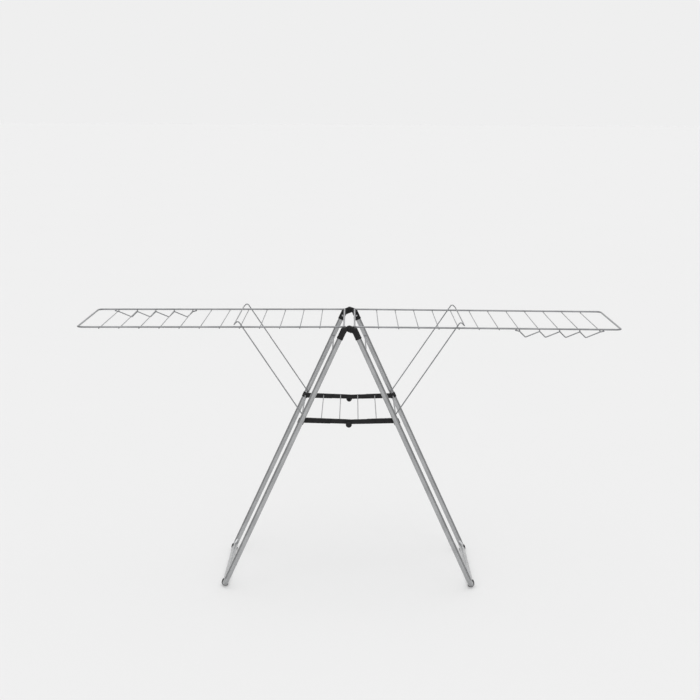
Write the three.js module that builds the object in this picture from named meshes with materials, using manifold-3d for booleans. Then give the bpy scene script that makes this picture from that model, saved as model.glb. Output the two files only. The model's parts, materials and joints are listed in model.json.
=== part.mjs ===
// A folding clothes drying rack: two U-shaped tube legs on a top hinge, two wire wings held
// level by wire stays, and a folding plastic spreader. Millimetres, +Z up, floor at z = 0.
import * as THREE from 'three';
import { mergeVertices } from 'three/addons/utils/BufferGeometryUtils.js';
import Module from 'manifold-3d';

const wasm = await Module();
wasm.setup();

// The two halves are one design: the left half is the right half turned by 180 degrees about Z.
const clearance = 0.3;

// Leg frames: a steel tube bent into a U whose open ends sit in the hinge sockets.
const hingeHeight = 881.5;
const legSplay = THREE.MathUtils.degToRad(24.7);
const legOffset = 15.3;
const legY = 290;
const legRadius = 9;
const legWall = 1;
const footHeight = 11.7;
const legLength = (hingeHeight + legOffset * Math.sin(legSplay) - footHeight) / Math.cos(legSplay);
const legBend = 24;
const braceRadius = 2.5;
const braceDrop = 108;
const legInnerFace = legY - legRadius;
const drillDepth = 6;
const drillStart = 5;

// Hinge sockets: a sleeve over each tube end, a knuckle plate and a hook that carries the wing.
const socketRadius = 10.8;
const socketBore = legRadius + clearance;
const socketTop = -2;
const socketBottom = -43;
const boreTop = -13;
const knuckleRadius = 12.5;
const knuckleCut = 13.1;
const knuckleThickness = 10.2;
const knuckleCutDepth = 14;
const shoulderSlope = THREE.MathUtils.degToRad(20);
const shoulderAngle = Math.PI / 2 - shoulderSlope - legSplay;
const shoulderCut = { start: -3, end: 36, rise: 20, reach: 12 };
const knuckleWeb = [[6, -24], [legOffset, -24], [23.5, -5.7]];
const innerKnuckle = { lastAngle: THREE.MathUtils.degToRad(177), corner: [4.5, -16.8] };
const outerKnuckle = { lastAngle: THREE.MathUtils.degToRad(221.6), corner: [4.5, -8.3] };
const pinRadius = 3;
const pinHeadRadius = 5.5;
const pinHead = 1.5;
const pinHeadEdge = 0.7;
const hookRadius = 5.6;
const hookMouth = { low: 1.8, high: 9, side: 9 };
const hookInnerY = 252;
const hookWidth = 10;
const lug = { lowX: 8, highX: 15, lowZ: -20, highZ: -11 };
const lugOuterY = legY - 6;
const socketCutLength = 60;
const cutOverrun = 12;

// Wings: a wire frame with twelve rods welded under it and a zigzag rail for hangers.
const wingPivotX = 18;
const wingPivotZ = hingeHeight + 6;
const wingDroop = THREE.MathUtils.degToRad(0.3);
const wingLength = 889;
const railY = 271;
const railRadius = 3;
const railInnerBend = 8;
const railOuterBend = 22;
const rodCount = 12;
const rodRadius = 1.5;
const rodFirst = 80;
const rodPitch = 67;
const rodEndY = 273;
const rodDrop = railRadius + rodRadius + clearance;
const zigzagRadius = 2;
const zigzagTeeth = 4;
const zigzagValley = 28;
const zigzagTail = 15;
const zigzagBend = 4;
const zigzagFirstBend = 3;
const zigzagSlope = 0.7;

// Stays: a wire hoop pivoted on the legs, with its crossbar over the wing's rails.
const stayRadius = 2;
const stayY = 277;
const stayDrop = 331;
const stayPeak = { x: 370.5, z: hingeHeight + 26.5, bend: 7 };
const stayBar = { x: 383.5, z: hingeHeight + 12.5, bend: 6 };
const stayFootBend = 4;
const stayStubEnd = 284.5;

// Spreader: four half-bars hinged on the legs and meeting in half-laps at two centre knobs.
const spreaderDrop = 348.5;
const spreaderCentreZ = hingeHeight - 323;
const barInnerY = 264.5;
const barOuterY = 274.5;
const barEye = 7.5;
const barCentreEye = 9;
const barTop = [
  [148, spreaderCentreZ + 22],
  [-5, spreaderCentreZ + 16.5],
  [-9, spreaderCentreZ + 12.5],
];
const barCut = { lowX: -20, lowZ: spreaderCentreZ - 20, highZ: spreaderCentreZ + 30, beyond: 1 };
const lapLength = 62;
const lapInnerY = 269.3;
const lapOuterY = 269.7;
const spreaderWireX = [31, 92.5];
const spreaderWireZ = spreaderCentreZ + 15;
const spreaderWireEnd = barInnerY - clearance;
const knobRadius = 10.2;
const knobShaft = 3.4;
const knobBore = knobShaft + 0.4;
const knobHead = 4.4;
const knobEdge = 1.8;
const spreaderRod = 2.5;
const bracketRadius = 10.6;
const bracketHalfLength = 9;
const bracketBoss = 4.2;
const bracketCut = 15;

// Foot clips: C-shaped plastic clips snapped over the tube, each with a flat underside.
const clipRadius = 12;
const clipLength = 21;
const clipOuterY = legY - legBend - 1;
const clipArc = [-150, 60].map(THREE.MathUtils.degToRad);

const finishes = {
  tube: { color: 0x8f9194, roughness: 0.42, metalness: 0.6 },
  wire: { color: 0xa2a4a6, roughness: 0.4, metalness: 0.6 },
  plastic: { color: 0x2a2a2b, roughness: 0.55, metalness: 0 },
};

function piece(name, geometry, finish) {
  const mesh = new THREE.Mesh(geometry, new THREE.MeshStandardMaterial(finishes[finish]));
  mesh.name = name;
  return mesh;
}

// A path whose stations are exactly the given points, so straight runs take no extra steps.
class StationPath extends THREE.Curve {
  constructor(points) {
    super();
    this.points = points;
  }

  getPoint(t, target = new THREE.Vector3()) {
    const place = t * (this.points.length - 1);
    const index = Math.min(Math.floor(place), this.points.length - 2);
    return target.lerpVectors(this.points[index], this.points[index + 1], place - index);
  }

  getPointAt(u, target) {
    return this.getPoint(u, target);
  }

  getTangentAt(u, target) {
    return this.getTangent(u, target);
  }

  getSpacedPoints(divisions) {
    return this.getPoints(divisions);
  }
}

// Points along a bent wire: each corner is [x, y, z, bend radius].
function bentPath(corners, segments = 4) {
  const points = [];
  corners.forEach(([x, y, z, bend], index) => {
    const corner = new THREE.Vector3(x, y, z);
    if (!bend) {
      points.push(corner);
      return;
    }
    const before = new THREE.Vector3(...corners[index - 1]).sub(corner).normalize();
    const after = new THREE.Vector3(...corners[index + 1]).sub(corner).normalize();
    const half = before.angleTo(after) / 2;
    const run = bend / Math.tan(half);
    const centre = before.clone().add(after).normalize();
    centre.multiplyScalar(bend / Math.sin(half)).add(corner);
    const start = before.multiplyScalar(run).add(corner).sub(centre);
    const end = after.multiplyScalar(run).add(corner).sub(centre);
    const sweep = start.angleTo(end);
    for (let step = 0; step <= segments; step += 1) {
      const share = step / segments;
      const point = start.clone().multiplyScalar(Math.sin((1 - share) * sweep));
      point.addScaledVector(end, Math.sin(share * sweep));
      points.push(point.divideScalar(Math.sin(sweep)).add(centre));
    }
  });
  return points;
}

function circleShape(radius, holeRadius = 0) {
  const shape = new THREE.Shape();
  shape.absarc(0, 0, radius, 0, 2 * Math.PI);
  if (holeRadius) {
    const hole = new THREE.Path();
    hole.absarc(0, 0, holeRadius, 0, 2 * Math.PI);
    shape.holes.push(hole);
  }
  return shape;
}

function bentWire(points, shape, curveSegments) {
  const extrudePath = new StationPath(points);
  return new THREE.ExtrudeGeometry(shape, { steps: points.length - 1, curveSegments, extrudePath });
}

// A flat plate: an outline in X and Z, between two values of Y.
function plate(shape, lowY, highY, curveSegments = 10) {
  const geometry = new THREE.ExtrudeGeometry(shape, {
    depth: highY - lowY,
    bevelEnabled: false,
    curveSegments,
  });
  return geometry.rotateX(Math.PI / 2).translate(0, highY, 0);
}

// A round bar along Y at (x, z), between two values of Y.
function crossBar(radius, x, z, lowY, highY, sides) {
  const geometry = new THREE.CylinderGeometry(radius, radius, highY - lowY, sides);
  return geometry.translate(x, (lowY + highY) / 2, z);
}

function box(lowX, highX, lowY, highY, lowZ, highZ) {
  const geometry = new THREE.BoxGeometry(highX - lowX, highY - lowY, highZ - lowZ);
  return geometry.translate((lowX + highX) / 2, (lowY + highY) / 2, (lowZ + highZ) / 2);
}

function toSolid(geometry) {
  const bare = geometry.clone();
  bare.deleteAttribute('normal');
  bare.deleteAttribute('uv');
  const merged = mergeVertices(bare, 1e-4);
  return new wasm.Manifold(new wasm.Mesh({
    numProp: 3,
    vertProperties: new Float32Array(merged.attributes.position.array),
    triVerts: new Uint32Array(merged.index.array),
  }));
}

function toGeometry(solid) {
  const mesh = solid.getMesh();
  const geometry = new THREE.BufferGeometry();
  geometry.setAttribute('position', new THREE.BufferAttribute(mesh.vertProperties, 3));
  geometry.setIndex(new THREE.BufferAttribute(mesh.triVerts, 1));
  geometry.computeVertexNormals();
  return geometry;
}

function shaped(added, removed) {
  let solid = added.map(toSolid).reduce((sum, next) => sum.add(next));
  removed.forEach((cut) => {
    solid = solid.subtract(toSolid(cut));
  });
  return toGeometry(solid);
}

// Low and high Y of a stretch given by its distances from the middle plane.
function span(end, near, far) {
  return end > 0 ? [near, far] : [-far, -near];
}

// The piece of steel tube that makes one leg frame, holed for the stay and the spreader rod.
function legTube() {
  const points = bentPath([
    [legOffset, -legY, boreTop - 1, 0],
    [legOffset, -legY, -legLength, legBend],
    [legOffset, legY, -legLength, legBend],
    [legOffset, legY, boreTop - 1, 0],
  ], 5);
  const tube = bentWire(points, circleShape(legRadius, legRadius - legWall), 7);
  const drilled = [legInnerFace - drillStart, legInnerFace + drillDepth];
  const holes = [-1, 1].flatMap((end) => [
    crossBar(stayRadius + clearance, legOffset, -stayDrop, ...span(end, ...drilled), 10),
    crossBar(spreaderRod + clearance, legOffset, -spreaderDrop, ...span(end, ...drilled), 10),
  ]);
  return shaped([tube], holes);
}

// Each half has one knuckle on the inside of the lap (end -1) and one on the outside (end 1).
function hingeSocket(end, wingHook) {
  const inside = end < 0;
  const plateY = inside ? [legY - clearance - knuckleThickness, legY - clearance]
    : [legY + clearance, legY + clearance + knuckleThickness];
  const cutY = inside ? [legY - 0.1, legY + knuckleCutDepth]
    : [legY - knuckleCutDepth, legY + 0.1];
  const knuckle = inside ? innerKnuckle : outerKnuckle;
  const outline = new THREE.Shape();
  outline.absarc(0, 0, knuckleRadius, shoulderAngle, knuckle.lastAngle);
  [knuckle.corner, ...knuckleWeb].forEach(([x, z]) => outline.lineTo(x, z));
  const shoulder = box(shoulderCut.start, shoulderCut.end,
    ...span(end, legY - shoulderCut.reach, legY + shoulderCut.reach),
    knuckleRadius, knuckleRadius + shoulderCut.rise);
  const mouth = box(-hookMouth.side, hookMouth.side,
    ...span(end, hookInnerY - 1, hookInnerY + hookWidth + 1), hookMouth.low, hookMouth.high);
  const sleeve = new THREE.CylinderGeometry(
    socketRadius, socketRadius, socketTop - socketBottom, 20,
  );
  sleeve.rotateX(Math.PI / 2);
  sleeve.translate(legOffset, end * legY, (socketTop + socketBottom) / 2);
  const bore = new THREE.CylinderGeometry(socketBore, socketBore, socketCutLength, 20);
  bore.rotateX(Math.PI / 2).translate(legOffset, end * legY, boreTop - socketCutLength / 2);
  const hookY = span(end, hookInnerY, hookInnerY + hookWidth);
  return shaped([
    sleeve,
    plate(outline, ...span(end, ...plateY)),
    box(lug.lowX, lug.highX, ...span(end, hookInnerY, lugOuterY), lug.lowZ, lug.highZ),
    box(lug.lowX, lug.highX + 0.2, ...hookY, lug.lowZ, wingHook.z),
    crossBar(hookRadius, wingHook.x, wingHook.z, ...hookY, 16),
  ], [
    bore,
    shoulder.rotateY(shoulderSlope + legSplay),
    mouth.rotateY(legSplay).translate(wingHook.x, 0, wingHook.z),
    crossBar(knuckleCut, 0, 0, ...span(end, ...cutY), 28),
    crossBar(pinRadius + clearance, 0, 0, ...span(end, legY - 20, legY + 20), 12),
    crossBar(railRadius + clearance, wingHook.x, wingHook.z,
      ...span(end, hookInnerY - cutOverrun, hookInnerY + hookWidth + cutOverrun), 12),
  ]);
}

function legBracket(end) {
  const height = 2 * bracketHalfLength;
  const shell = new THREE.CylinderGeometry(bracketRadius, bracketRadius, height, 20);
  const bore = new THREE.CylinderGeometry(socketBore, socketBore, height + 2, 20);
  [shell, bore].forEach((part) => {
    part.rotateX(Math.PI / 2).translate(legOffset, end * legY, -spreaderDrop);
  });
  const low = -spreaderDrop - bracketHalfLength - 1;
  const bossY = span(end, barOuterY + clearance, lugOuterY);
  const boss = crossBar(bracketBoss, legOffset, -spreaderDrop, ...bossY, 12);
  const outer = box(legOffset - bracketCut, legOffset + bracketCut,
    ...span(end, legY, legY + bracketCut), low, low + height + 2);
  const rodHole = crossBar(spreaderRod + clearance, legOffset, -spreaderDrop,
    ...span(end, barOuterY - 4, lugOuterY + 1), 12);
  return shaped([shell, boss], [bore, outer, rodHole]);
}

function footClip(end) {
  const [sweep, opening] = clipArc;
  const outline = new THREE.Shape();
  outline.absarc(0, 0, clipRadius, sweep, opening);
  outline.absarc(0, 0, socketBore, opening, sweep, true);
  const ring = plate(outline, ...span(end, clipOuterY - clipLength, clipOuterY), 16);
  return shaped([ring], [box(-2 * clipRadius, 2 * clipRadius, -legY, legY, -2 * clipRadius, -footHeight)]);
}

// A rectangle of wire welded into one loop, drawn from the middle of its outer end.
function wingFrame() {
  const points = bentPath([
    [wingLength, 0, 0, 0],
    [wingLength, railY, 0, railOuterBend],
    [0, railY, 0, railInnerBend],
    [0, -railY, 0, railInnerBend],
    [wingLength, -railY, 0, railOuterBend],
    [wingLength, 0, 0, 0],
  ]);
  return new THREE.TubeGeometry(new StationPath(points), points.length - 1, railRadius, 8, true);
}

function zigzagRail() {
  const peak = rodDrop + rodRadius + zigzagRadius + clearance;
  const weld = railRadius + zigzagRadius + clearance;
  const outerRod = rodFirst + (rodCount - 1) * rodPitch;
  const innerRod = outerRod - zigzagTeeth * rodPitch;
  const corners = [[outerRod + zigzagTail, -railY, -weld, 0], [outerRod, -railY, -peak, zigzagFirstBend]];
  for (let tooth = 0; tooth < zigzagTeeth; tooth += 1) {
    const start = outerRod - tooth * rodPitch;
    corners.push([start - zigzagSlope * rodPitch, -railY, -zigzagValley, zigzagBend]);
    corners.push([start - rodPitch, -railY, -peak, zigzagBend]);
  }
  corners.push([innerRod - zigzagTail, -railY, -weld, 0]);
  return bentWire(bentPath(corners, 3), circleShape(zigzagRadius), 3);
}

function stayHoop(pivot) {
  const points = bentPath([
    [pivot.x, -stayStubEnd, pivot.z, 0],
    [pivot.x, -stayY, pivot.z, stayFootBend],
    [stayPeak.x, -stayY, stayPeak.z, stayPeak.bend],
    [stayBar.x, -stayY, stayBar.z, stayBar.bend],
    [stayBar.x, stayY, stayBar.z, stayBar.bend],
    [stayPeak.x, stayY, stayPeak.z, stayPeak.bend],
    [pivot.x, stayY, pivot.z, stayFootBend],
    [pivot.x, stayStubEnd, pivot.z, 0],
  ]);
  return bentWire(points, circleShape(stayRadius), 4);
}

// End -1 laps outside the other half's bar and carries the knob; end 1 laps inside it.
function spreaderBar(end, pivot) {
  const outline = new THREE.Shape();
  outline.absarc(0, spreaderCentreZ, barCentreEye, Math.PI, 2.05 * Math.PI);
  outline.absarc(pivot.x, pivot.z, barEye, -Math.PI / 2, Math.PI / 2);
  barTop.forEach(([x, z]) => outline.lineTo(x, z));
  const lap = end < 0 ? span(end, barInnerY - barCut.beyond, lapOuterY)
    : span(end, lapInnerY, barOuterY + barCut.beyond);
  const through = span(end, barInnerY - 4, barOuterY + 4);
  return shaped([plate(outline, ...span(end, barInnerY, barOuterY), 8)], [
    box(barCut.lowX, lapLength, ...lap, barCut.lowZ, barCut.highZ),
    crossBar(spreaderRod + clearance, pivot.x, pivot.z, ...through, 12),
    crossBar(knobBore, 0, spreaderCentreZ, ...through, 12),
  ]);
}

function knob() {
  const inner = barOuterY + clearance;
  const top = inner + knobHead;
  const profile = [
    [0, lapOuterY + 0.2], [knobShaft, lapOuterY + 0.2], [knobShaft, inner], [knobRadius, inner],
    [knobRadius, top - knobEdge], [knobRadius - knobEdge, top], [0, top],
  ];
  const geometry = new THREE.LatheGeometry(profile.map(([r, y]) => new THREE.Vector2(r, y)), 20);
  return geometry.rotateX(Math.PI).translate(0, 0, spreaderCentreZ);
}

function hingePin(end) {
  const head = legY + clearance + knuckleThickness + clearance;
  const tail = legY - clearance - knuckleThickness;
  const profile = [
    [0, tail], [pinRadius, tail], [pinRadius, head], [pinHeadRadius, head],
    [pinHeadRadius, head + pinHeadEdge], [pinHeadRadius - pinHead, head + pinHead],
    [0, head + pinHead],
  ];
  const geometry = new THREE.LatheGeometry(profile.map(([r, y]) => new THREE.Vector2(r, y)), 12);
  if (end < 0) geometry.rotateX(Math.PI);
  return geometry;
}

// From the leg frame's own axes, at the hinge and along the tubes, to the object's.
function fromLeg(x, z) {
  return {
    x: x * Math.cos(legSplay) - z * Math.sin(legSplay),
    z: hingeHeight + x * Math.sin(legSplay) + z * Math.cos(legSplay),
  };
}

function toLeg(x, z) {
  const rise = z - hingeHeight;
  return {
    x: x * Math.cos(legSplay) + rise * Math.sin(legSplay),
    z: -x * Math.sin(legSplay) + rise * Math.cos(legSplay),
  };
}

function legParts(side, endName) {
  const group = new THREE.Group();
  group.position.z = hingeHeight;
  group.rotation.y = -legSplay;
  const wingHook = toLeg(wingPivotX, wingPivotZ);
  const reach = legInnerFace - clearance;
  const brace = crossBar(braceRadius, legOffset - 2, -braceDrop, -reach, reach, 10);
  const rod = crossBar(spreaderRod, legOffset, -spreaderDrop, -stayStubEnd, stayStubEnd, 10);
  group.add(piece(`${side}_leg_tube`, legTube(), 'tube'));
  group.add(piece(`${side}_leg_cross_brace`, brace, 'wire'));
  group.add(piece(`${side}_spreader_rod`, rod, 'wire'));
  [-1, 1].forEach((end) => {
    const label = `${endName(end)}_${side}`;
    group.add(piece(`${label}_hinge_socket`, hingeSocket(end, wingHook), 'plastic'));
    group.add(piece(`${label}_spreader_bracket`, legBracket(end), 'plastic'));
  });
  return group;
}

function wingParts(side) {
  const group = new THREE.Group();
  group.position.set(wingPivotX, 0, wingPivotZ);
  group.rotation.y = wingDroop;
  group.add(piece(`${side}_wing_frame`, wingFrame(), 'wire'));
  group.add(piece(`${side}_hanger_rail`, zigzagRail(), 'wire'));
  for (let index = 0; index < rodCount; index += 1) {
    const rod = crossBar(rodRadius, rodFirst + index * rodPitch, -rodDrop, -rodEndY, rodEndY, 8);
    const number = String(index + 1).padStart(2, '0');
    group.add(piece(`${side}_wing_rod_${number}`, rod, 'wire'));
  }
  return group;
}

function spreaderParts(side, endName) {
  const group = new THREE.Group();
  const pivot = fromLeg(legOffset, -spreaderDrop);
  [-1, 1].forEach((end) => {
    group.add(piece(`${endName(end)}_${side}_spreader_bar`, spreaderBar(end, pivot), 'plastic'));
  });
  group.add(piece(`${endName(-1)}_spreader_knob`, knob(), 'plastic'));
  spreaderWireX.forEach((x, index) => {
    const wire = crossBar(rodRadius, x, spreaderWireZ, -spreaderWireEnd, spreaderWireEnd, 8);
    group.add(piece(`${side}_spreader_wire_${index + 1}`, wire, 'wire'));
  });
  return group;
}

function footParts(side, endName) {
  const group = new THREE.Group();
  const foot = fromLeg(legOffset, -legLength);
  group.position.set(foot.x, 0, footHeight);
  [-1, 1].forEach((end) => {
    group.add(piece(`${endName(end)}_${side}_foot_clip`, footClip(end), 'plastic'));
  });
  return group;
}

function half(side) {
  const group = new THREE.Group();
  const turned = side === 'left';
  const endName = (end) => ((end < 0) === turned ? 'rear' : 'front');
  const stayPivot = fromLeg(legOffset, -stayDrop);
  group.add(legParts(side, endName));
  group.add(footParts(side, endName));
  group.add(wingParts(side));
  group.add(piece(`${side}_wing_stay`, stayHoop(stayPivot), 'wire'));
  group.add(spreaderParts(side, endName));
  if (turned) group.rotation.z = Math.PI;
  return group;
}

const rack = new THREE.Group();
rack.name = 'drying_rack';
rack.add(half('left'));
rack.add(half('right'));
[[-1, 'front'], [1, 'rear']].forEach(([end, label]) => {
  const pin = piece(`${label}_hinge_pin`, hingePin(end), 'wire');
  pin.position.z = hingeHeight;
  rack.add(pin);
});

export default rack;
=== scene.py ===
import json
import math

import bmesh
import bpy
from mathutils import Matrix, Vector


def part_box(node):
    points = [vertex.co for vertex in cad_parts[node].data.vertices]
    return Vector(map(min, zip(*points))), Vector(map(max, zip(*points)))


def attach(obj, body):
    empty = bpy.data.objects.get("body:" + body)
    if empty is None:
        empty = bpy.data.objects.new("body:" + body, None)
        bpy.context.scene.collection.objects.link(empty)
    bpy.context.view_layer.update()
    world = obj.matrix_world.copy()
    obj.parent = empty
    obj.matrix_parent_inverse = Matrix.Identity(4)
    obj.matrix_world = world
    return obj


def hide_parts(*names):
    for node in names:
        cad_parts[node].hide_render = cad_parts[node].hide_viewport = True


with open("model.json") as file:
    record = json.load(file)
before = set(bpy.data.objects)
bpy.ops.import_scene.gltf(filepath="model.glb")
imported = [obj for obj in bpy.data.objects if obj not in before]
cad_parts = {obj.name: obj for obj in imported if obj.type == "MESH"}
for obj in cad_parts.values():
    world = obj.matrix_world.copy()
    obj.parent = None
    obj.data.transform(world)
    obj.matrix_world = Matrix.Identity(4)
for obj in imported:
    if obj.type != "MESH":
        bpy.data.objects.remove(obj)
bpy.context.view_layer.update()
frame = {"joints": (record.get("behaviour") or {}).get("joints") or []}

# ---------------------------------------------------------------------------------------------
# Studio: the rack stands on a white acrylic floor that is lit from below, so its shadows stay
# faint, with plain pale paper all round. Soft light comes from the front, the back and above,
# and the two sides are darker, which draws a darker line along the outer side of each tube.

floor_reach = 150.0
floor_colour = "#C4C4C4"
floor_glow = "#828282"
sky_colour = "#EFEFEF"
side_shade = 0.42
side_start, side_end = 0.35, 0.85
camera_place = (0.0102, -6.4151, 1.6209)
camera_dip = 0.1312
camera_turn = 0.0012
camera_roll = 0.0050
camera_lens = 95.56
soft_lights = {
    # name: (power, width, degrees round from the front towards +X, degrees above the floor)
    "front_softbox": (0.8, 60, -8, 38),
    "rear_softbox": (0.5, 70, 172, 62),
    "overhead_softbox": (0.5, 70, 0, 88),
}


def linear(hex_colour):
    """The linear colour that a shader works in, from an sRGB hex value."""
    colour = []
    for start in (1, 3, 5):
        channel = int(hex_colour[start:start + 2], 16) / 255
        low = channel / 12.92
        colour.append(low if channel <= 0.04045 else ((channel + 0.055) / 1.055) ** 2.4)
    return (*colour, 1.0)


def add_node(tree, kind, settings=None, links=None):
    """A shader node with its settings and its incoming links."""
    shader = tree.nodes.new(kind)
    for name, value in (settings or {}).items():
        if name in shader.inputs:
            shader.inputs[name].default_value = value
        else:
            setattr(shader, name, value)
    for name, source in (links or {}).items():
        tree.links.new(source, shader.inputs[name])
    return shader


def new_material(name):
    """An empty material and its node tree."""
    material = bpy.data.materials.new(name)
    material.use_nodes = True
    material.node_tree.nodes.clear()
    return material, material.node_tree


scene = bpy.context.scene
scene.view_settings.view_transform = "Standard"

camera = bpy.data.objects.new("camera", bpy.data.cameras.new("camera"))
camera.data.sensor_width = 36
camera.data.lens = camera_lens
camera.data.clip_end = 2 * floor_reach
camera.matrix_world = (
    Matrix.Translation(camera_place)
    @ Matrix.Rotation(camera_turn, 4, "Z")
    @ Matrix.Rotation(math.pi / 2 - camera_dip, 4, "X")
    @ Matrix.Rotation(camera_roll, 4, "Z")
)
scene.collection.objects.link(camera)
scene.camera = camera

for name, (power, width, round_from_front, height) in soft_lights.items():
    light = bpy.data.objects.new(name, bpy.data.lights.new(name, "SUN"))
    light.data.energy = power
    light.data.angle = math.radians(width)
    light.matrix_world = (
        Matrix.Rotation(math.radians(round_from_front), 4, "Z")
        @ Matrix.Rotation(math.radians(90 - height), 4, "X")
    )
    scene.collection.objects.link(light)

world = bpy.data.worlds.new("sky")
world.use_nodes = True
world.node_tree.nodes.clear()
tree = world.node_tree
paper_wall = add_node(tree, "ShaderNodeBackground", {"Color": linear(sky_colour)})
place = add_node(tree, "ShaderNodeTexCoord")
axes = add_node(tree, "ShaderNodeSeparateXYZ", links={0: place.outputs["Generated"]})
sideways = add_node(tree, "ShaderNodeMath", {"operation": "ABSOLUTE"}, {0: axes.outputs["X"]})
shade = add_node(tree, "ShaderNodeMapRange",
                 {"From Min": side_start, "From Max": side_end, "To Min": 1.0,
                  "To Max": side_shade, "interpolation_type": "SMOOTHSTEP"},
                 {"Value": sideways.outputs[0]})
dark_sides = add_node(tree, "ShaderNodeBackground", {"Color": linear(sky_colour)},
                      {"Strength": shade.outputs["Result"]})
seen = add_node(tree, "ShaderNodeLightPath")
sky = add_node(tree, "ShaderNodeMixShader", links={
    0: seen.outputs["Is Camera Ray"], 1: dark_sides.outputs[0], 2: paper_wall.outputs[0]})
add_node(tree, "ShaderNodeOutputWorld", links={"Surface": sky.outputs[0]})
scene.world = world

# Opal acrylic sheet: cast and sanded matt, so it has no shine and only a faint cloudiness. Lamps
# under it give it a glow of its own.
opal_sheet, tree = new_material("opal_acrylic_sanded")
clouds_per_metre = 0.7
cloud_change = 0.005
place = add_node(tree, "ShaderNodeTexCoord")
cloud = add_node(tree, "ShaderNodeTexNoise", {"Scale": clouds_per_metre},
                 {"Vector": place.outputs["Object"]})
tint = add_node(tree, "ShaderNodeMapRange",
                {"To Min": 1 - cloud_change, "To Max": 1 + cloud_change},
                {"Value": cloud.outputs["Fac"]})
colour = add_node(tree, "ShaderNodeVectorMath",
                  {"operation": "MULTIPLY"}, {1: tint.outputs["Result"]})
colour.inputs[0].default_value = linear(floor_colour)[:3]
surface = add_node(tree, "ShaderNodeBsdfPrincipled",
                   {"Roughness": 1.0, "Specular IOR Level": 0.0,
                    "Emission Color": linear(floor_glow), "Emission Strength": 1.0},
                   {"Base Color": colour.outputs[0]})
add_node(tree, "ShaderNodeOutputMaterial", links={"Surface": surface.outputs[0]})

floor_shape = bmesh.new()
bmesh.ops.create_circle(floor_shape, cap_ends=True, radius=floor_reach, segments=64)
floor_mesh = bpy.data.meshes.new("floor")
floor_shape.to_mesh(floor_mesh)
floor_shape.free()
floor = bpy.data.objects.new("floor", floor_mesh)
floor.data.materials.append(opal_sheet)
scene.collection.objects.link(floor)

# ---------------------------------------------------------------------------------------------
# Leg tubes: each leg frame is one 18 mm seam-welded steel tube with a 1 mm wall, bent to a U on
# a former, drilled on its inner faces for the stay and the spreader rod, and powder-coated. The
# left half of the rack is the right half turned round by 180 degrees.

tube_radius = 0.009
tube_wall = 0.001
tube_top = -0.014
tube_bend = 0.024
tube_offset = 0.0153
foot_height = 0.0117
foot_clip_radius = 0.012
drill_clearance = 0.0003
drill_start, drill_stop = 0.014, 0.003
stay_hole = 0.002
spreader_hole = 0.0025
nose_angles = (15, 35, 60)
sharp_edge = 35

halves = {"right": Matrix.Identity(4), "left": Matrix.Rotation(math.pi, 4, "Z")}
pivot = {joint["name"]: Vector(joint["pos_m"]) for joint in frame["joints"]}
hinge = pivot["leg_fold"]
leg_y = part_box("right_leg_tube")[1].y - tube_radius
foot_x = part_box("front_right_foot_clip")[1].x - foot_clip_radius
leg_reach = math.hypot(foot_x, hinge.z - foot_height)
leg_length = math.sqrt(leg_reach ** 2 - tube_offset ** 2)
leg_splay = math.atan2(foot_x, hinge.z - foot_height) - math.asin(tube_offset / leg_reach)
leg_space = Matrix.Translation(hinge) @ Matrix.Rotation(-leg_splay, 4, "Y")
stay_drop = -(leg_space.inverted() @ pivot["right_stay_swing"]).z
spreader_drop = -(leg_space.inverted() @ pivot["right_spreader_fold"]).z


def bent_path(corners, steps=12):
    """Points along a wire or tube that is bent at its corners, each (x, y, z, bend radius)."""
    points = []
    for index, (x, y, z, bend) in enumerate(corners):
        corner = Vector((x, y, z))
        if not bend:
            points.append(corner)
            continue
        back = (Vector(corners[index - 1][:3]) - corner).normalized()
        ahead = (Vector(corners[index + 1][:3]) - corner).normalized()
        half_angle = back.angle(ahead) / 2
        run = bend / math.tan(half_angle)
        centre = corner + (back + ahead).normalized() * bend / math.sin(half_angle)
        start = corner + back * run - centre
        end = corner + ahead * run - centre
        axis = start.cross(end)
        for step in range(steps + 1):
            turn = Matrix.Rotation(start.angle(end) * step / steps, 3, axis)
            points.append(centre + turn @ start)
    return points


def loft(shape, rings, closed=False):
    """Faces between neighbouring rings of vertices."""
    pairs = list(zip(rings, rings[1:] + rings[:1])) if closed else list(zip(rings, rings[1:]))
    for near, far in pairs:
        for index in range(len(near)):
            after = (index + 1) % len(near)
            shape.faces.new((near[index], near[after], far[after], far[index]))


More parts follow.
